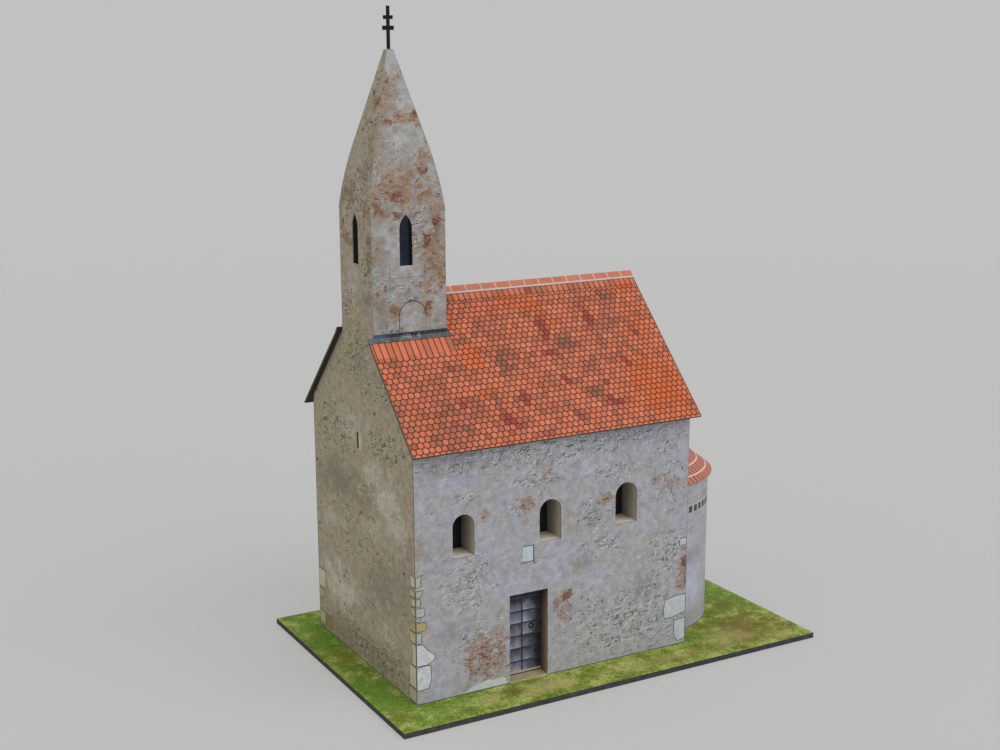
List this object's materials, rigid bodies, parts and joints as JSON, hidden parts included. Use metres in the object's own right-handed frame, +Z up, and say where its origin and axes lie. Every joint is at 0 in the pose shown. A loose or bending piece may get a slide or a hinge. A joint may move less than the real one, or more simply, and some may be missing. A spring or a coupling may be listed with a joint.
{
  "type": "card model of a small chapel",
  "caption": "Glued card model of a small Romanesque chapel on its own base: nave with recessed windows and door, tiled saddle roof, round apse, and a west tower with a pointed spire and cross.",
  "frame": {"origin": "middle of the base board's underside", "axes": "+X east towards the apse, +Y north, away from the wall with the door, +Z up"},
  "size_m": [0.1238, 0.083, 0.1677],
  "materials": {
    "plaster_print": "matt printed plaster and rubble",
    "tile_print": "matt printed roof tiles",
    "flashing_print": "matt printed sheet metal",
    "reveal_print": "matt printed plaster in shade",
    "window_print": "matt dark backing",
    "lancet_print": "matt dark blue backing",
    "door_print": "matt printed boards with iron bars",
    "threshold_print": "matt printed stone",
    "grass_print": "matt printed grass",
    "base_black": "black board",
    "cross_black": "black card"
  },
  "bodies": {
    "root": {"base_board": "base_black", "grass_sheet": "grass_print", "south_wall": "plaster_print", "north_wall": "plaster_print", "west_wall": "plaster_print", "east_wall": "plaster_print", "apse_wall": "plaster_print", "apse_roof": "tile_print", "roof_south": "tile_print", "roof_north": "tile_print", "ridge_cap": "tile_print", "tower_south": "plaster_print", "tower_north": "plaster_print", "tower_west": "plaster_print", "tower_east": "plaster_print", "spire_cap": "plaster_print", "cross": "cross_black", "flashing_south": "flashing_print", "flashing_north": "flashing_print", "flashing_east": "flashing_print", "door_reveal": "reveal_print", "door_leaf": "door_print", "door_threshold": "threshold_print", "south_window_reveal_west": "reveal_print", "south_window_back_west": "window_print", "south_window_reveal_middle": "reveal_print", "south_window_back_middle": "window_print", "south_window_reveal_east": "reveal_print", "south_window_back_east": "window_print", "north_window_reveal_west": "reveal_print", "north_window_back_west": "window_print", "north_window_reveal_middle": "reveal_print", "north_window_back_middle": "window_print", "north_window_reveal_east": "reveal_print", "north_window_back_east": "window_print", "lancet_back_south": "lancet_print", "lancet_back_north": "lancet_print", "lancet_back_west": "lancet_print", "lancet_back_east": "lancet_print"}
  },
  "joints": []
}
